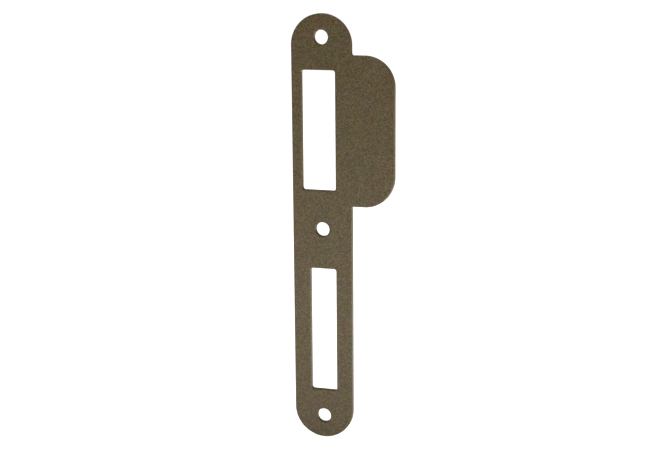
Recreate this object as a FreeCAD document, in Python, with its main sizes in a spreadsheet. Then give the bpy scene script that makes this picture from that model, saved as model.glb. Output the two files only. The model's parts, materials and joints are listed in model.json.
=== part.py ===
import FreeCAD, Part
import Sketcher
import math
import os

# Door strike plate: one flat steel stamping with full-round ends, a lip on one long side,
# a latch opening beside the lip, a bolt opening below it and three plain screw holes.
# X points to the lip, Z runs up the plate and the front looks along -Y.
# The back seats on the plane Y = 0, and the origin is the centre of the middle screw hole.

NODE = "strike_plate"

# Driving sizes in millimetres.
SIZES = {
    "plate_length": 170.0,
    "plate_width": 24.2,
    "plate_thickness": 2.0,
    # How far the middle screw hole lies above the middle of the plate's length.
    "middle_hole_rise": 0.9,
    # From a rounded end to the centre of the screw hole beside it.
    "end_hole_inset": 9.0,
    "screw_hole_diameter": 5.6,
    # Straight side between the round upper end and the lip.
    "shoulder_length": 3.65,
    "lip_projection": 17.1,
    # How far the lip runs past the latch opening at each end.
    "lip_overlap": 5.9,
    "lip_corner_radius": 12.0,
    # Hollow corner between the lip and the plate's side.
    "notch_radius": 0.8,
    # From the centre of the middle screw hole to the nearer edge of each opening.
    "latch_web": 15.55,
    "bolt_web": 15.85,
    # From the lower end of the plate to the bolt opening.
    "bolt_end_web": 19.95,
    # Walls beside the openings, on the plain side and on the lip's side.
    "latch_wall": 4.05,
    "bolt_wall": 7.0,
    "lip_side_wall": 6.6,
    "opening_corner_radius": 1.0,
    # The front's edges are rolled in by the punch, and the back's are broken to take off the burr.
    "front_edge_radius": 0.4,
    "back_edge_break": 0.25,
}

# Places in the part's frame, worked out from the driving sizes.
PLACES = {
    "half_width": "=Sizes.plate_width / 2",
    "top_end": "=Sizes.plate_length / 2 - Sizes.middle_hole_rise",
    "bottom_end": "=-Sizes.plate_length / 2 - Sizes.middle_hole_rise",
    "top_round": "=top_end - half_width",
    "bottom_round": "=bottom_end + half_width",
    "top_hole": "=top_end - Sizes.end_hole_inset",
    "bottom_hole": "=bottom_end + Sizes.end_hole_inset",
    "lip_edge": "=half_width + Sizes.lip_projection",
    "lip_top": "=top_round - Sizes.shoulder_length",
    "latch_top": "=lip_top - Sizes.lip_overlap",
    "latch_bottom": "=Sizes.latch_web",
    "lip_bottom": "=latch_bottom - Sizes.lip_overlap",
    "bolt_top": "=-Sizes.bolt_web",
    "bolt_bottom": "=bottom_end + Sizes.bolt_end_web",
    "latch_left": "=Sizes.latch_wall - half_width",
    "bolt_left": "=Sizes.bolt_wall - half_width",
    "opening_right": "=half_width - Sizes.lip_side_wall",
    "front_face": "=-Sizes.plate_thickness",
}

# The back seats on this Y.
BACK_FACE = 0.0

# A sketch numbers the points of its items upwards from 1, and its own axes downwards from -1.
START, END, CENTRE = range(1, 4)
LEVEL_AXIS, UPRIGHT_AXIS = range(-1, -3, -1)
ORIGIN = (LEVEL_AXIS, START)

# Directions on a circle, where arcs begin and end. An arc that ends at the east has gone full circle.
EAST, NORTH, WEST, SOUTH, FULL = [quarter * math.pi / 2 for quarter in range(5)]

# An edge this close to a plane lies in it.
FLAT = 0.001


def fill_sheet(doc, name, cells):
    """A sheet with one row for each value: its name, and the value under that alias."""
    sheet = doc.addObject("Spreadsheet::Sheet", name)
    for row, (alias, content) in enumerate(cells.items(), start=1):
        sheet.set(f"A{row}", alias)
        sheet.set(f"B{row}", str(content))
        sheet.setAlias(f"B{row}", alias)
    doc.recompute()
    return sheet


def new_sketch(body, name):
    """A sketch on the back plane: its x is the part's X and its y is the part's Z."""
    sketch = body.newObject("Sketcher::SketchObject", name)
    back = next(item for item in body.Origin.OriginFeatures if item.Role == "XZ_Plane")
    sketch.AttachmentSupport = [(back, "")]
    sketch.MapMode = "FlatFace"
    return sketch


def circle(x, z, radius):
    return Part.Circle(FreeCAD.Vector(x, z, 0), FreeCAD.Vector(0, 0, 1), radius)


def line(x1, z1, x2, z2):
    """A line that a loop follows from its first point to its second."""
    return Part.LineSegment(FreeCAD.Vector(x1, z1, 0), FreeCAD.Vector(x2, z2, 0)), START, END


def outward_arc(x, z, radius, first, last):
    """An arc that a loop follows counter-clockwise, round a corner that stands out."""
    return Part.ArcOfCircle(circle(x, z, radius), first, last), START, END


def hollow_arc(x, z, radius, first, last):
    """An arc that a loop follows clockwise, round a hollow corner."""
    return Part.ArcOfCircle(circle(x, z, radius), last, first), END, START


def tie(sketch, kind, *items):
    return sketch.addConstraint(Sketcher.Constraint(kind, *items))


def drive(sketch, source, kind, *items):
    """Add a dimension that takes its name and its value from a cell, such as Places.lip_top."""
    name = source.split(".")[1]
    sketch.renameConstraint(tie(sketch, kind, *items), name)
    sketch.setExpression(f"Constraints.{name}", source)


def add_loop(sketch, pieces):
    """Add lines and arcs that make a closed loop, each tangent to the next, and give their numbers."""
    items = [sketch.addGeometry(shape, False) for shape, first, last in pieces]
    for here, there in zip(range(len(items)), [*range(1, len(items)), 0]):
        tie(sketch, "Tangent", items[here], pieces[here][2], items[there], pieces[there][1])
    return items


def draw_blank(sketch, sizes, places):
    """The outline of the blank, counter-clockwise from the right of its upper end."""
    side = places.half_width
    notch = sizes.notch_radius
    corner = sizes.lip_corner_radius
    root = side + notch
    bend = places.lip_edge - corner
    upper_end, plain_side, lower_end, lip_side, lower_notch, lip_base, \
        lower_corner, lip_front, upper_corner, lip_head, upper_notch, shoulder = add_loop(sketch, [
            outward_arc(0, places.top_round, side, EAST, WEST),
            line(-side, places.top_round, -side, places.bottom_round),
            outward_arc(0, places.bottom_round, side, WEST, FULL),
            line(side, places.bottom_round, side, places.lip_bottom - notch),
            hollow_arc(root, places.lip_bottom - notch, notch, WEST, NORTH),
            line(root, places.lip_bottom, bend, places.lip_bottom),
            outward_arc(bend, places.lip_bottom + corner, corner, SOUTH, FULL),
            line(places.lip_edge, places.lip_bottom + corner, places.lip_edge, places.lip_top - corner),
            outward_arc(bend, places.lip_top - corner, corner, EAST, NORTH),
            line(bend, places.lip_top, root, places.lip_top),
            hollow_arc(root, places.lip_top + notch, notch, SOUTH, WEST),
            line(side, places.lip_top + notch, side, places.top_round),
        ])
    for upright in (plain_side, lip_side, lip_front, shoulder):
        tie(sketch, "Vertical", upright)
    for level in (lip_base, lip_head):
        tie(sketch, "Horizontal", level)
    for end in (upper_end, lower_end):
        tie(sketch, "PointOnObject", end, CENTRE, UPRIGHT_AXIS)
    tie(sketch, "Equal", lower_notch, upper_notch)
    tie(sketch, "Equal", lower_corner, upper_corner)
    drive(sketch, "Places.half_width", "Radius", upper_end, side)
    drive(sketch, "Places.top_round", "DistanceY", *ORIGIN, upper_end, CENTRE, places.top_round)
    drive(sketch, "Places.bottom_round", "DistanceY", *ORIGIN, lower_end, CENTRE, places.bottom_round)
    drive(sketch, "Places.lip_edge", "DistanceX", *ORIGIN, lip_front, START, places.lip_edge)
    drive(sketch, "Places.lip_top", "DistanceY", *ORIGIN, lip_head, START, places.lip_top)
    drive(sketch, "Places.lip_bottom", "DistanceY", *ORIGIN, lip_base, START, places.lip_bottom)
    drive(sketch, "Sizes.lip_corner_radius", "Radius", lower_corner, corner)
    drive(sketch, "Sizes.notch_radius", "Radius", lower_notch, notch)


def draw_opening(sketch, sizes, places, left, right, bottom, top):
    """A rectangle with rounded corners between four named places, counter-clockwise."""
    x1, x2, z1, z2 = [getattr(places, name) for name in (left, right, bottom, top)]
    radius = sizes.opening_corner_radius
    base, corner_1, right_side, corner_2, head, corner_3, left_side, corner_4 = add_loop(sketch, [
        line(x1 + radius, z1, x2 - radius, z1),
        outward_arc(x2 - radius, z1 + radius, radius, SOUTH, FULL),
        line(x2, z1 + radius, x2, z2 - radius),
        outward_arc(x2 - radius, z2 - radius, radius, EAST, NORTH),
        line(x2 - radius, z2, x1 + radius, z2),
        outward_arc(x1 + radius, z2 - radius, radius, NORTH, WEST),
        line(x1, z2 - radius, x1, z1 + radius),
        outward_arc(x1 + radius, z1 + radius, radius, WEST, SOUTH),
    ])
    for level in (base, head):
        tie(sketch, "Horizontal", level)
    for upright in (left_side, right_side):
        tie(sketch, "Vertical", upright)
    for corner in (corner_2, corner_3, corner_4):
        tie(sketch, "Equal", corner_1, corner)
    drive(sketch, "Sizes.opening_corner_radius", "Radius", corner_1, radius)
    drive(sketch, f"Places.{left}", "DistanceX", *ORIGIN, left_side, START, x1)
    drive(sketch, f"Places.{right}", "DistanceX", *ORIGIN, right_side, START, x2)
    drive(sketch, f"Places.{bottom}", "DistanceY", *ORIGIN, base, START, z1)
    drive(sketch, f"Places.{top}", "DistanceY", *ORIGIN, head, START, z2)


def draw_screw_holes(sketch, sizes, places):
    """Three equal circles on the upright axis, the middle one at the origin."""
    radius = sizes.screw_hole_diameter / 2
    middle, upper, lower = [sketch.addGeometry(circle(0, z, radius), False)
                            for z in (0, places.top_hole, places.bottom_hole)]
    tie(sketch, "Coincident", middle, CENTRE, *ORIGIN)
    for end in (upper, lower):
        tie(sketch, "PointOnObject", end, CENTRE, UPRIGHT_AXIS)
        tie(sketch, "Equal", middle, end)
    drive(sketch, "Sizes.screw_hole_diameter", "Diameter", middle, 2 * radius)
    drive(sketch, "Places.top_hole", "DistanceY", *ORIGIN, upper, CENTRE, places.top_hole)
    drive(sketch, "Places.bottom_hole", "DistanceY", *ORIGIN, lower, CENTRE, places.bottom_hole)


def pierce(body, name, sketch):
    """Cut a sketch's shape through the plate, from the back to the front."""
    cut = body.newObject("PartDesign::Pocket", name)
    cut.Profile = sketch
    cut.Type = "ThroughAll"
    cut.Reversed = True
    return cut


def drill(body, name, sketch):
    """Drill plain holes through the plate at a sketch's circles, from the back to the front."""
    body.Document.recompute()
    hole = body.newObject("PartDesign::Hole", name)
    hole.Profile = sketch
    hole.Threaded = False
    hole.HoleCutType = "None"
    hole.DepthType = "ThroughAll"
    hole.Reversed = True
    hole.setExpression("Diameter", "Sizes.screw_hole_diameter")
    return hole


def edges_at(body, depth):
    """The shape so far, and the names of its edges that lie in the plane Y = depth."""
    body.Document.recompute()
    base = body.Tip
    names = []
    for number, edge in enumerate(base.Shape.Edges, start=1):
        if abs(edge.BoundBox.YMin - depth) < FLAT and abs(edge.BoundBox.YMax - depth) < FLAT:
            names.append(f"Edge{number}")
    return base, names


def round_front(body, depth):
    """Round every edge of the front face, openings and screw holes too."""
    base_and_edges = edges_at(body, depth)
    rounding = body.newObject("PartDesign::Fillet", "front_rounding")
    rounding.Base = base_and_edges
    rounding.setExpression("Radius", "Sizes.front_edge_radius")


def break_back(body, depth):
    """Take a small bevel off every edge of the back face."""
    base_and_edges = edges_at(body, depth)
    bevel = body.newObject("PartDesign::Chamfer", "back_bevel")
    bevel.Base = base_and_edges
    bevel.setExpression("Size", "Sizes.back_edge_break")


def build_plate(doc, sizes, places):
    """Blank the plate, pierce its openings, drill its screw holes and finish its edges."""
    body = doc.addObject("PartDesign::Body", NODE)
    body.Label = NODE

    outline = new_sketch(body, "blank_outline")
    draw_blank(outline, sizes, places)
    blank = body.newObject("PartDesign::Pad", "blank")
    blank.Profile = outline
    blank.setExpression("Length", "Sizes.plate_thickness")

    latch = new_sketch(body, "latch_outline")
    draw_opening(latch, sizes, places, "latch_left", "opening_right", "latch_bottom", "latch_top")
    latch_opening = pierce(body, "latch_opening", latch)

    bolt = new_sketch(body, "bolt_outline")
    draw_opening(bolt, sizes, places, "bolt_left", "opening_right", "bolt_bottom", "bolt_top")
    bolt_opening = pierce(body, "bolt_opening", bolt)

    circles = new_sketch(body, "screw_hole_circles")
    draw_screw_holes(circles, sizes, places)
    screw_holes = drill(body, "screw_holes", circles)

    round_front(body, places.front_face)
    break_back(body, BACK_FACE)
    doc.recompute()
    for cut in (latch_opening, bolt_opening, screw_holes):
        if cut.Shape.Volume >= cut.BaseFeature.Shape.Volume:
            raise RuntimeError(f"{cut.Name} cuts nothing")
    return body


def check(doc, body):
    """Stop if anything in the document failed or the finished shape isn't one sound solid."""
    for item in doc.Objects:
        if "Invalid" in item.State or "Error" in item.State:
            raise RuntimeError(f"{item.Name} failed: {item.State}")
        if item.isDerivedFrom("Sketcher::SketchObject") and not item.FullyConstrained:
            raise RuntimeError(f"{item.Name} is not fully constrained")
    shape = body.Shape
    if shape.isNull() or not shape.isValid() or len(shape.Solids) != 1:
        raise RuntimeError(f"{body.Label} is not one valid solid")


doc = FreeCAD.newDocument(NODE)
sizes = fill_sheet(doc, "Sizes", SIZES)
places = fill_sheet(doc, "Places", PLACES)
plate = build_plate(doc, sizes, places)
check(doc, plate)
os.makedirs("parts", exist_ok=True)
plate.Shape.exportStep(f"parts/{plate.Label}.step")
print(plate.Label, "volume", round(plate.Shape.Volume, 1), "mm3, box", plate.Shape.optimalBoundingBox())
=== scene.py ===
# %% [markdown]
# # A door strike plate in a bronze powder coat
#
# A strike plate is the flat strip of steel that is screwed to a door frame, where the latch and the bolt
# of the lock go in. Its CAD model is already exact, so it is loaded first, and nothing here moves it. The
# box round that model gives the plate's outer sizes.

# %% Load the plate's frame
import json
import math

import bpy
import numpy as np
from mathutils import Matrix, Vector
from mathutils.geometry import delaunay_2d_cdt


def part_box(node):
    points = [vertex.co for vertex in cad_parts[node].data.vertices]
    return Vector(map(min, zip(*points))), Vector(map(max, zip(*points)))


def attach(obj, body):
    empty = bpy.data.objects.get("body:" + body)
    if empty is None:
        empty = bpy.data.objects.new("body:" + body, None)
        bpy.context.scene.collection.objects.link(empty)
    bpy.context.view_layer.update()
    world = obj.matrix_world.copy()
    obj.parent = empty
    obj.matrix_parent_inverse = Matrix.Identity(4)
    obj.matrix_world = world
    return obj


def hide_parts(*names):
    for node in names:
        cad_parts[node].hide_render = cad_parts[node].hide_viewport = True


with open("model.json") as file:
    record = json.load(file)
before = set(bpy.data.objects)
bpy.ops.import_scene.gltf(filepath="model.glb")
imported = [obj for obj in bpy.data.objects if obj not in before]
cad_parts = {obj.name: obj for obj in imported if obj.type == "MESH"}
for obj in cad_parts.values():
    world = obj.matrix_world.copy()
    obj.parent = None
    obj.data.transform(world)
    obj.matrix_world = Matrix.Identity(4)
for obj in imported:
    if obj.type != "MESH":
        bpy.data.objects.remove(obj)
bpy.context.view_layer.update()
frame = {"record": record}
MM = 0.001

# %% [markdown]
# ## Sizes
#
# The plate's sizes could be typed in again, but then they could drift away from the CAD model. So the outer
# sizes come from the node's box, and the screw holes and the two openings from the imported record. Only what
# neither of them holds is written here: three radii, how far the lip reaches past the latch opening, and
# the margin by which the record's openings are smaller than the holes. X runs across the plate, Z along it,
# and Y into the door frame, with the back face at zero.

# %% Read the sizes
LIP_OVERLAP = 5.9 * MM
LIP_CORNER_RADIUS = 12.0 * MM
NOTCH_RADIUS = 0.8 * MM
OPENING_CORNER_RADIUS = 1.0 * MM
OPENING_CLEARANCE = 0.35 * MM

plate_low, plate_high = (np.array(corner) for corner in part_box("strike_plate"))
half_width = -plate_low[0]
lip_edge = plate_high[0]
thickness = plate_high[1] - plate_low[1]
openings = {}
for opening in frame["record"]["physics"]["openings"]:
    low, high = np.array(opening["box_m"])[:, [0, 2]]
    openings[opening["name"]] = (low - OPENING_CLEARANCE, high + OPENING_CLEARANCE)
screw_holes = []
for mount in frame["record"]["mounts"]:
    if mount["kind"] == "bore":
        screw_holes.append((mount["pos_m"][0], mount["pos_m"][2], mount["dims"]["r_mm"] * MM))
lip_foot = openings["latch_opening"][0][1] - LIP_OVERLAP
lip_head = openings["latch_opening"][1][1] + LIP_OVERLAP
print(f"plate {2 * half_width / MM:.1f} mm wide, {thickness / MM:.1f} mm thick,"
      f" lip from {lip_foot / MM:.1f} to {lip_head / MM:.1f} mm")

# %% [markdown]
# ## The outlines
#
# The blank and its holes are punched, so every edge is a chain of straight runs and round corners. Each
# could be drawn as a curve object, but one small function does them all: it walks round a polygon and
# rounds off each corner by its own radius. A rectangle whose corner radius is half its width has
# full-round ends, as the plate has, and a square with a radius of half its side is a circle, as a screw
# hole is. The metal stays on the left of the walk, so the direction to the right points out of it.

# %% Walk round the six outlines
EDGE_STEP = 0.35 * MM
CORNER_STEPS = 8


def rounded_loop(corners, radii):
    """Walk round a polygon whose corners are rounded off by arcs.

    At each corner the walk turns by an angle t. The arc that rounds it off starts r * tan(|t| / 2) before
    the corner, and its centre lies r to the inner side of the turn. Between two arcs the walk is straight.
    Gives the points as rows of x and z, and at each one the unit normal that points out of the metal.
    """
    corners = np.asarray(corners, dtype=float)
    radii = np.asarray(radii, dtype=float)
    after = np.roll(corners, -1, axis=0) - corners
    after /= np.linalg.norm(after, axis=1, keepdims=True)
    before = np.roll(after, 1, axis=0)
    turn = np.arctan2(before[:, 0] * after[:, 1] - before[:, 1] * after[:, 0], (before * after).sum(axis=1))
    side = np.sign(turn)
    reach = radii * np.tan(np.abs(turn) / 2)
    left = np.stack([-before[:, 1], before[:, 0]], axis=1)
    centres = corners - before * reach[:, None] + left * (radii * side)[:, None]
    starts = corners - before * reach[:, None]
    ends = corners + after * reach[:, None]
    points = []
    normals = []
    for corner, radius in enumerate(radii):
        count = max(CORNER_STEPS, round(radius * abs(turn[corner]) / EDGE_STEP))
        first = math.atan2(*(starts[corner] - centres[corner])[::-1])
        angle = first + turn[corner] * np.arange(count) / count
        spoke = np.stack([np.cos(angle), np.sin(angle)], axis=1)
        points.append(centres[corner] + radius * spoke)
        normals.append(side[corner] * spoke)
        run = np.roll(starts, -1, axis=0)[corner] - ends[corner]
        count = round(np.linalg.norm(run) / EDGE_STEP)
        points.append(ends[corner] + run * (np.arange(count) / max(count, 1))[:, None])
        normals.append(np.tile([after[corner, 1], -after[corner, 0]], (count, 1)))
    return np.concatenate(points), np.concatenate(normals)


def hole_loop(low, high, radius):
    """A rectangular hole from its low to its high corner, walked so that the metal is on the left."""
    corners = [(low[0], low[1]), (low[0], high[1]), (high[0], high[1]), (high[0], low[1])]
    return rounded_loop(corners, [radius] * len(corners))


blank_corners = [
    (-half_width, plate_high[2]), (-half_width, plate_low[2]), (half_width, plate_low[2]),
    (half_width, lip_foot), (lip_edge, lip_foot), (lip_edge, lip_head),
    (half_width, lip_head), (half_width, plate_high[2]),
]
blank_radii = [
    half_width, half_width, half_width,
    NOTCH_RADIUS, LIP_CORNER_RADIUS, LIP_CORNER_RADIUS,
    NOTCH_RADIUS, half_width,
]
loops = [rounded_loop(blank_corners, blank_radii)]
for low, high in openings.values():
    loops.append(hole_loop(low, high, OPENING_CORNER_RADIUS))
for x, z, radius in screw_holes:
    loops.append(hole_loop((x - radius, z - radius), (x + radius, z + radius), radius))
loop_sizes = [len(points) for points, normals in loops]
print("points round each outline:", loop_sizes)

# %% [markdown]
# ## The edges
#
# A punch leaves sharp edges, and they are broken before the coat goes on: a narrow bevel on the front, and a
# smaller round on the back. A Bevel modifier could make them, but it would need the right edges picked out.
# Here the section of an edge is carried along each outline instead: a bevel between two tight turns, a
# straight wall and a quarter round. That gives every edge the same line, which is what catches the light.

# %% Carry the edge section along the outlines
FRONT_BREAK = 0.32 * MM
TURN_RADIUS = 0.10 * MM
BACK_ROLL = 0.16 * MM
TURN_STEPS = 3
WALL_STEPS = 4
BACK_STEPS = 4


def edge_section():
    """The section of an edge from the front face, over the bevel and the wall, to the back face.

    The front turns by 45 degrees on a small radius r, runs straight, and turns by 45 degrees again. For an
    angle a, the first turn's inset is r * sin a and its height r * (1 - cos a), and the second turn is the
    first one mirrored about the diagonal. The back is a quarter circle. Gives rows of inset from the wall,
    which is never above 0, and Y, with rows of the unit normal in the same two directions.
    """
    turn = np.radians(np.linspace(0, 45, TURN_STEPS + 1))
    first = TURN_RADIUS * np.stack([np.sin(turn), 1 - np.cos(turn)], axis=1)
    front = np.concatenate([first, FRONT_BREAK - first[::-1, ::-1]]) - [FRONT_BREAK, thickness]
    front_turn = np.concatenate([turn, math.pi / 2 - turn[::-1]])
    back = np.radians(np.linspace(90, 0, BACK_STEPS + 1))
    wall = np.linspace(FRONT_BREAK - thickness, -BACK_ROLL, WALL_STEPS + 1)[1:-1]
    inset = np.concatenate([front[:, 0], 0 * wall, BACK_ROLL * (np.sin(back) - 1)])
    depth = np.concatenate([front[:, 1], wall, BACK_ROLL * (np.cos(back) - 1)])
    outward = np.concatenate([np.sin(front_turn), 0 * wall + 1, np.sin(back)])
    backward = np.concatenate([-np.cos(front_turn), 0 * wall, np.cos(back)])
    return np.stack([inset, depth], axis=1), np.stack([outward, backward], axis=1)


def carry_edge(points, normals, first_vertex):
    """Carry the edge section along one outline.

    A point of the surface is the outline's point moved by the section's inset along the outline's normal,
    at the section's Y. Gives the vertices, their normals and the four-sided faces between them.
    """
    section, section_normals = edge_section()
    flat = points[None] + section[:, :1, None] * normals[None]
    depth = np.broadcast_to(section[:, 1:], flat.shape[:2])
    vertices = np.stack([flat[..., 0], depth, flat[..., 1]], axis=-1)
    across = section_normals[:, :1, None] * normals[None]
    along = np.broadcast_to(section_normals[:, 1:], flat.shape[:2])
    vertex_normals = np.stack([across[..., 0], along, across[..., 1]], axis=-1)
    index = first_vertex + np.arange(flat.shape[0] * flat.shape[1]).reshape(flat.shape[:2])
    beside = np.roll(index, -1, axis=1)
    faces = np.stack([index[:-1], index[1:], beside[1:], beside[:-1]], axis=-1).reshape(-1, 4)
    return vertices.reshape(-1, 3), vertex_normals.reshape(-1, 3), faces, index[0], index[-1]


edge_vertices = []
edge_normals = []
edge_faces = []
front_rims = []
back_rims = []
vertex_count = 0
for points, normals in loops:
    vertices, vertex_normals, faces, front_rim, back_rim = carry_edge(points, normals, vertex_count)
    edge_vertices.append(vertices)
    edge_normals.append(vertex_normals)
    edge_faces.append(faces)
    front_rims.append(front_rim)
    back_rims.append(back_rim)
    vertex_count += len(vertices)
edge_vertices = np.concatenate(edge_vertices)
edge_normals = np.concatenate(edge_normals)
edge_faces = np.concatenate(edge_faces)
print("edge faces:", len(edge_faces))

# %% [markdown]
# ## The flat faces
#
# The front and the back are flat, so one big face with holes would do for the shape. But the coat on them
# is not quite smooth, and its waves need points to stand on. So a honeycomb of points is laid over each
# face, the ones near an edge are left out, and Blender's Delaunay triangulation joins the rest to the rims
# of the edges. A distance formula for rounded rectangles says which points lie on the metal.

# %% Fill the front and the back
FRONT_SPACING = 0.40 * MM
BACK_SPACING = 0.60 * MM
RIM_GAP = 0.6
INNER_TRIANGLES = 1
JOIN_TOLERANCE = 1e-5


def box_distance(points, low, high, radius):
    """Distance of each point from a rounded rectangle, negative inside it.

    With q the distance past the rectangle shrunk by the radius, it is the length of the positive part of q,
    plus the greatest part of q where all are negative, less the radius.
    """
    centre = (np.asarray(low) + high) / 2
    past = np.abs(points - centre) - (np.asarray(high) - low) / 2 + radius
    outside = np.linalg.norm(np.maximum(past, 0), axis=1)
    return outside + np.minimum(past.max(axis=1), 0) - radius


def hole_distance(points):
    """Distance of each point from the nearest opening or screw hole, negative inside it."""
    distances = [box_distance(points, low, high, OPENING_CORNER_RADIUS) for low, high in openings.values()]
    for x, z, radius in screw_holes:
        distances.append(np.hypot(points[:, 0] - x, points[:, 1] - z) - radius)
    return np.min(distances, axis=0)


def outline_distance(points):
    """Distance of each point from the blank's outline, negative on the blank: the plate joined to its lip."""
    plate = box_distance(points, plate_low[[0, 2]], (half_width, plate_high[2]), half_width)
    lip = box_distance(points, (-half_width, lip_foot), (lip_edge, lip_head), LIP_CORNER_RADIUS)
    return np.minimum(plate, lip)


def honeycomb(spacing, rim_inset):
    """Points in rows half a step apart from one another, kept where they clear every rim."""
    rows = np.arange(plate_low[2], plate_high[2], spacing * math.sqrt(3) / 2)
    columns = np.arange(plate_low[0], plate_high[0], spacing)
    shift = (np.arange(len(rows)) % 2) * spacing / 2
    x = columns[None, :] + shift[:, None]
    points = np.stack([x, np.broadcast_to(rows[:, None], x.shape)], axis=-1).reshape(-1, 2)
    clear = rim_inset + RIM_GAP * spacing
    keep = (outline_distance(points) < -clear) & (hole_distance(points) > clear)
    return points[keep]


def fill_face(rims, spacing, rim_inset, first_vertex):
    """Join a honeycomb of points to the rims of one face; gives the new points and all its triangles."""
    rim = np.concatenate(rims)
    inner = honeycomb(spacing, rim_inset)
    flat = np.concatenate([edge_vertices[rim][:, [0, 2]], inner])
    index = np.concatenate([rim, first_vertex + np.arange(len(inner))])
    ends = np.cumsum([len(one) for one in rims])
    borders = [list(range(end - len(one), end)) for one, end in zip(rims, ends)]
    links = [link for border in borders for link in zip(border, border[1:] + border[:1])]
    joined = delaunay_2d_cdt((flat / MM).tolist(), links, [], INNER_TRIANGLES, JOIN_TOLERANCE)
    _, _, joined_faces, origins, *_ = joined
    source = np.array([origin[0] for origin in origins])
    triangles = source[np.array(joined_faces)]
    middles = flat[triangles].mean(axis=1)
    triangles = triangles[hole_distance(middles) > rim_inset]
    return inner, index[triangles]


front_points, front_faces = fill_face(front_rims, FRONT_SPACING, FRONT_BREAK, vertex_count)
vertex_count += len(front_points)
back_points, back_faces = fill_face(back_rims, BACK_SPACING, BACK_ROLL, vertex_count)
print("front triangles:", len(front_faces), "back triangles:", len(back_faces))

# %% [markdown]
# ## The waves in the coat
#
# Powder is sprayed on dry and melts into a skin in the oven. It never runs quite level, so its surface has
# low waves one to three millimetres long. A Displace modifier with a noise texture could make them. A sum of
# plane waves in all directions is as random, needs no texture, and has the same form on the faces, the
# bevels and the walls. The waves only take away from the skin, so the plate stays inside its CAD box.

# %% Press the waves into the surface
WAVE_DEPTH = 0.016 * MM
WAVE_LENGTHS = (1.3 * MM, 3.0 * MM)
WAVE_COUNT = 72
WAVE_SEED = 11


def coat_waves(points):
    """Depth of the coat's waves at each point, from 0 to 1.

    It is the sum of cos(2 pi * (point . direction) / length + phase) over all waves, divided by the root of
    half their number so that its spread is 1, and folded between 0 and 1 by (1 + tanh) / 2.
    """
    random = np.random.default_rng(WAVE_SEED)
    direction = random.normal(size=(WAVE_COUNT, 3))
    direction /= np.linalg.norm(direction, axis=1, keepdims=True)
    length = random.uniform(*WAVE_LENGTHS, size=WAVE_COUNT)
    phase = random.uniform(0, 2 * math.pi, size=WAVE_COUNT)
    total = np.cos(points @ (2 * math.pi * direction / length[:, None]).T + phase).sum(axis=1)
    return (1 + np.tanh(total / math.sqrt(WAVE_COUNT / 2))) / 2


front_points = np.insert(front_points, 1, -thickness, axis=1)
back_points = np.insert(back_points, 1, 0.0, axis=1)
plate_points = np.concatenate([edge_vertices, front_points, back_points])
plate_normals = np.concatenate([
    edge_normals,
    np.tile([0.0, -1.0, 0.0], (len(front_points), 1)),
    np.tile([0.0, 1.0, 0.0], (len(back_points), 1)),
])
waves = coat_waves(plate_points)
plate_points = plate_points - plate_normals * (WAVE_DEPTH * waves)[:, None]
print(f"waves up to {WAVE_DEPTH * waves.max() / MM:.3f} mm deep on {len(plate_points)} points")

# %% [markdown]
# ## The plate
#
# The edges and the two faces share the points of their rims, so together they are one closed skin. The
# mesh takes the CAD node's place on the screen. It rides on the only body there is.

# %% Make the plate's mesh
plate_mesh = bpy.data.meshes.new("coated_plate")
plate_faces = edge_faces.tolist() + front_faces.tolist() + back_faces[:, ::-1].tolist()
plate_mesh.from_pydata(plate_points.tolist(), [], plate_faces)
plate_mesh.polygons.foreach_set("use_smooth", np.ones(len(plate_mesh.polygons), dtype=bool))
plate_mesh.update()
coated_plate = bpy.data.objects.new("coated_plate", plate_mesh)
bpy.context.scene.collection.objects.link(coated_plate)
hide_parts("strike_plate")
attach(coated_plate, "root")
plate_mesh.calc_loop_triangles()
edge_uses = len(plate_mesh.loops) / len(plate_mesh.edges)
print(f"plate of {len(plate_mesh.loop_triangles)} triangles, {edge_uses:.3f} faces on each edge")

# %% [markdown]
# ## The grain of the powder
#
# Close up, the coat is not one brown. Grains of different browns have melted side by side, so it has fine
# flecks, and slow patches that lean to red, green or grey. The surface is a little gritty too. An image could
# hold all this, but noise in the plate's own millimetres has the right scale everywhere and no seams. It
# is a node group, so that another coat can use the same grain with sizes of its own.

# %% Build the grain group
NOISE_DETAIL = 2.0


def add_node(tree, kind, **settings):
    """Add a node of one kind to a tree and set its properties by name."""
    node = tree.nodes.new(kind)
    for name, value in settings.items():
        setattr(node, name, value)
    return node


powder_grain = bpy.data.node_groups.new("powder_grain", "ShaderNodeTree")
sockets = powder_grain.interface
sockets.new_socket("Position", in_out="INPUT", socket_type="NodeSocketVector")
for size in ("Grit size in mm", "Fleck size in mm", "Patch size in mm"):
    sockets.new_socket(size, in_out="INPUT", socket_type="NodeSocketFloat")
sockets.new_socket("Grit", in_out="OUTPUT", socket_type="NodeSocketFloat")
sockets.new_socket("Fleck", in_out="OUTPUT", socket_type="NodeSocketFloat")
sockets.new_socket("Patch", in_out="OUTPUT", socket_type="NodeSocketColor")
given = add_node(powder_grain, "NodeGroupInput")
result = add_node(powder_grain, "NodeGroupOutput")
for kind, output in (("Grit", "Fac"), ("Fleck", "Fac"), ("Patch", "Color")):
    noise = add_node(powder_grain, "ShaderNodeTexNoise", label=kind)
    noise.inputs["Detail"].default_value = NOISE_DETAIL
    scale = add_node(powder_grain, "ShaderNodeMath", operation="DIVIDE")
    scale.inputs[0].default_value = 1 / MM
    powder_grain.links.new(given.outputs[kind + " size in mm"], scale.inputs[1])
    powder_grain.links.new(given.outputs["Position"], noise.inputs["Vector"])
    powder_grain.links.new(scale.outputs[0], noise.inputs["Scale"])
    powder_grain.links.new(noise.outputs[output], result.inputs[kind])
print("grain group gives:", [socket.name for socket in result.inputs if socket.name])

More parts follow.
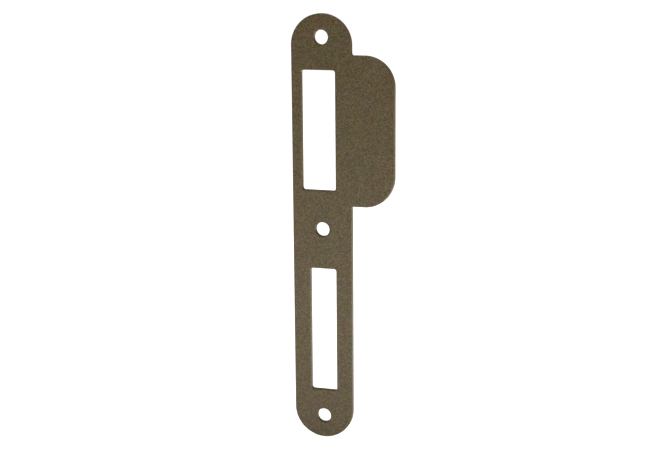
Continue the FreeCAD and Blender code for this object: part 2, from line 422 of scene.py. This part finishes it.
# %% [markdown]
# ## The bronze coat
#
# The colour is a dark bronze brown. It is paint and not bare metal, so the shader stays a dielectric with
# a satin gloss, and its brown comes from the pigment. The patches tint the brown, each channel on its own.
# The flecks make single grains lighter and greyer, or darker and browner, and the grit goes to the Bump node.

# %% Mix the bronze coat
BRONZE = (0.128, 0.0918, 0.0350)
GRIT_SIZE = 0.55
FLECK_SIZE = 0.46
PATCH_SIZE = 5.0
NOISE_SPAN = (0.3, 0.7)
PATCH_TINTS = ((0.92, 0.93, 0.80), (1.08, 1.07, 1.20))
FLECK_SHADES = ((0.48, 0.39, 0.1), (1.52, 1.61, 1.9))
ROUGHNESS_RANGE = (0.38, 0.52)
GRIT_HEIGHT = 0.02 * MM
PAINT_IOR = 1.5

bronze_coat = bpy.data.materials.new("bronze_powder_coat")
bronze_coat.use_nodes = True
tree = bronze_coat.node_tree
paint = tree.nodes["Principled BSDF"]
paint.inputs["Metallic"].default_value = 0.0
paint.inputs["IOR"].default_value = PAINT_IOR
coordinates = add_node(tree, "ShaderNodeTexCoord")
grain = add_node(tree, "ShaderNodeGroup", node_tree=powder_grain)
grain.inputs["Grit size in mm"].default_value = GRIT_SIZE
grain.inputs["Fleck size in mm"].default_value = FLECK_SIZE
grain.inputs["Patch size in mm"].default_value = PATCH_SIZE
tree.links.new(coordinates.outputs["Object"], grain.inputs["Position"])


def spread_noise(source, low, high):
    """Spread a noise, which keeps near its middle, over the range from low to high."""
    kind = "FLOAT_VECTOR" if isinstance(low, tuple) else "FLOAT"
    spread = add_node(tree, "ShaderNodeMapRange", data_type=kind, clamp=False)
    ends = [end for end in spread.inputs if end.enabled]
    for end, value in zip(ends[1:], (*NOISE_SPAN, low, high)):
        end.default_value = (value,) * 3 if kind == "FLOAT_VECTOR" and not isinstance(value, tuple) else value
    tree.links.new(source, ends[0])
    return next(output for output in spread.outputs if output.enabled)


tinted = add_node(tree, "ShaderNodeVectorMath", operation="MULTIPLY")
tinted.inputs[1].default_value = BRONZE
flecked = add_node(tree, "ShaderNodeVectorMath", operation="MULTIPLY")
bump = add_node(tree, "ShaderNodeBump")
bump.inputs["Distance"].default_value = GRIT_HEIGHT
tree.links.new(spread_noise(grain.outputs["Patch"], *PATCH_TINTS), tinted.inputs[0])
tree.links.new(tinted.outputs["Vector"], flecked.inputs[0])
tree.links.new(spread_noise(grain.outputs["Fleck"], *FLECK_SHADES), flecked.inputs[1])
tree.links.new(flecked.outputs["Vector"], paint.inputs["Base Color"])
tree.links.new(spread_noise(grain.outputs["Grit"], *ROUGHNESS_RANGE), paint.inputs["Roughness"])
tree.links.new(grain.outputs["Grit"], bump.inputs["Height"])
tree.links.new(bump.outputs["Normal"], paint.inputs["Normal"])
coated_plate.data.materials.append(bronze_coat)
print("coat made of", len(tree.nodes), "nodes")

# %% [markdown]
# ## The light table
#
# The plate stands on a white light table, as small parts do in a studio: no shadow falls, and the white
# of the table mirrors in the satin coat. Three lamps under it each make a pool of light that fades with the
# distance: a wide one in front of the plate, a strong one on its right, which lights the walls on that side
# from below, and a weak one behind it. Each is given by its middle, its reach and its strength. A Light
# Path node keeps the table plain white to the camera all the same.

# %% Lay the table under the plate
TABLE_REACH = 9.0
TABLE_LAMPS = {
    "front": ((-0.07, -0.28), 0.54, 1.33),
    "right": ((0.21, 0.04), 0.22, 5.20),
    "back": ((0.08, 0.22), 0.30, 0.65),
}
WHITE = (1.0, 1.0, 1.0, 1.0)
WHITE_LEVEL = 1.0
TABLE_COLOUR = (0.8, 0.8, 0.8, 1.0)
TABLE_ROUGHNESS = 0.6


def flat_sheet(name, reach, height):
    """A square of one face, reach metres to each side of the middle, level at one height."""
    corners = np.array([[-1, -1], [1, -1], [1, 1], [-1, 1]]) * reach
    mesh = bpy.data.meshes.new(name)
    mesh.from_pydata(np.insert(corners, 2, height, axis=1).tolist(), [], [(0, 1, 2, 3)])
    sheet = bpy.data.objects.new(name, mesh)
    bpy.context.scene.collection.objects.link(sheet)
    return sheet


light_table = flat_sheet("light_table", TABLE_REACH, plate_low[2])
table_white = bpy.data.materials.new("table_white")
table_white.use_nodes = True
tree = table_white.node_tree
white = tree.nodes["Principled BSDF"]
white.inputs["Base Color"].default_value = TABLE_COLOUR
white.inputs["Roughness"].default_value = TABLE_ROUGHNESS
white.inputs["Emission Color"].default_value = WHITE
coordinates = add_node(tree, "ShaderNodeTexCoord")
pools = []
for middle, reach, strength in TABLE_LAMPS.values():
    away = add_node(tree, "ShaderNodeVectorMath", operation="DISTANCE")
    away.inputs[1].default_value = (*middle, plate_low[2])
    fade = add_node(tree, "ShaderNodeMapRange", interpolation_type="SMOOTHSTEP")
    fade.inputs["From Max"].default_value = reach
    fade.inputs["To Min"].default_value = strength
    fade.inputs["To Max"].default_value = 0.0
    tree.links.new(coordinates.outputs["Object"], away.inputs[0])
    tree.links.new(away.outputs["Value"], fade.inputs["Value"])
    pools.append(fade.outputs["Result"])
glow = pools[0]
for pool in pools[1:]:
    total = add_node(tree, "ShaderNodeMath", operation="ADD")
    tree.links.new(glow, total.inputs[0])
    tree.links.new(pool, total.inputs[1])
    glow = total.outputs["Value"]


def white_to_camera(tree, dim, lit):
    """Give the socket lit the white level where the camera looks at it, and the dim value elsewhere."""
    path = add_node(tree, "ShaderNodeLightPath")
    seen = add_node(tree, "ShaderNodeMix", data_type="FLOAT")
    seen.inputs["B"].default_value = WHITE_LEVEL
    if isinstance(dim, float):
        seen.inputs["A"].default_value = dim
    else:
        tree.links.new(dim, seen.inputs["A"])
    tree.links.new(path.outputs["Is Camera Ray"], seen.inputs["Factor"])
    tree.links.new(seen.outputs["Result"], lit)


white_to_camera(tree, glow, white.inputs["Emission Strength"])
light_table.data.materials.append(table_white)
print(f"table at {plate_low[2] / MM:.1f} mm with {len(TABLE_LAMPS)} lamps under it")

# %% [markdown]
# ## The studio light
#
# A small softbox stands beside the plate on its right, and a large one hangs higher up in front of it and
# reaches into the holes. A third hangs above and behind it: it skims the walls that face up, and shows the
# back in other views. Each is given by its bearing from the front and its height in degrees, its side in
# metres and its power. The room itself is dim, but it looks white.

# %% Set the softboxes and the room
ROOM_DIM = 0.02
SOFTBOX_DISTANCE = 1.5
SOFTBOXES = {
    "right": (88, 4, 0.3, 2.5),
    "front_right": (26, 38, 0.9, 4.6),
    "above": (180, 74, 0.9, 13.0),
}

room = bpy.data.worlds.new("white_room")
room.use_nodes = True
bpy.context.scene.world = room
backdrop = room.node_tree.nodes["Background"]
backdrop.inputs["Color"].default_value = WHITE
white_to_camera(room.node_tree, ROOM_DIM, backdrop.inputs["Strength"])


def aim(place):
    """A turn whose Z axis points from the origin to the place, with X level, as lamps and cameras want it."""
    back = np.array(place) / np.linalg.norm(place)
    right = np.cross([0.0, 0.0, 1.0], back)
    right /= np.linalg.norm(right)
    return np.stack([right, np.cross(back, right), back], axis=1)


for name, (bearing, height, side, power) in SOFTBOXES.items():
    lamp = bpy.data.lights.new("softbox_" + name, "AREA")
    lamp.size = side
    lamp.energy = power
    bearing, height = math.radians(bearing), math.radians(height)
    toward = np.array([math.sin(bearing), -math.cos(bearing), math.tan(height)]) * math.cos(height)
    place = SOFTBOX_DISTANCE * toward
    softbox = bpy.data.objects.new(lamp.name, lamp)
    softbox.matrix_world = Matrix.LocRotScale(place, Matrix(aim(place)).to_quaternion(), None)
    softbox.visible_camera = False
    bpy.context.scene.collection.objects.link(softbox)
print("softboxes:", list(SOFTBOXES))

# %% [markdown]
# ## The camera
#
# The camera stands where the photograph was taken from: above the plate and to its right, close to level,
# with a long lens. Its place was found by matching the outlines and the hole centres to the CAD sizes.

# %% Place the camera
CAMERA_PLACE = (0.165060, -0.515579, 0.118388)
CAMERA_YAW = 17.7039
CAMERA_PITCH = -12.1941
CAMERA_ROLL = -0.5127
FOCAL_PIXELS = 1406.638
IMAGE_WIDTH = 650
SENSOR_WIDTH = 36.0

yaw, pitch, roll = np.radians([CAMERA_YAW, CAMERA_PITCH, CAMERA_ROLL])
forward = np.array([-math.sin(yaw) * math.cos(pitch), math.cos(yaw) * math.cos(pitch), math.sin(pitch)])
level = np.array([math.cos(yaw), math.sin(yaw), 0.0])
upright = np.cross(level, forward)
right = math.cos(roll) * level + math.sin(roll) * upright
up = math.cos(roll) * upright - math.sin(roll) * level
lens = bpy.data.cameras.new("camera")
lens.sensor_fit = "HORIZONTAL"
lens.sensor_width = SENSOR_WIDTH
lens.lens = FOCAL_PIXELS * SENSOR_WIDTH / IMAGE_WIDTH
camera = bpy.data.objects.new("camera", lens)
turn = Matrix(np.stack([right, up, -forward], axis=1)).to_quaternion()
camera.matrix_world = Matrix.LocRotScale(CAMERA_PLACE, turn, None)
bpy.context.scene.collection.objects.link(camera)
bpy.context.scene.camera = camera
bpy.context.scene.view_settings.view_transform = "Standard"
print(f"lens of {lens.lens:.1f} mm")
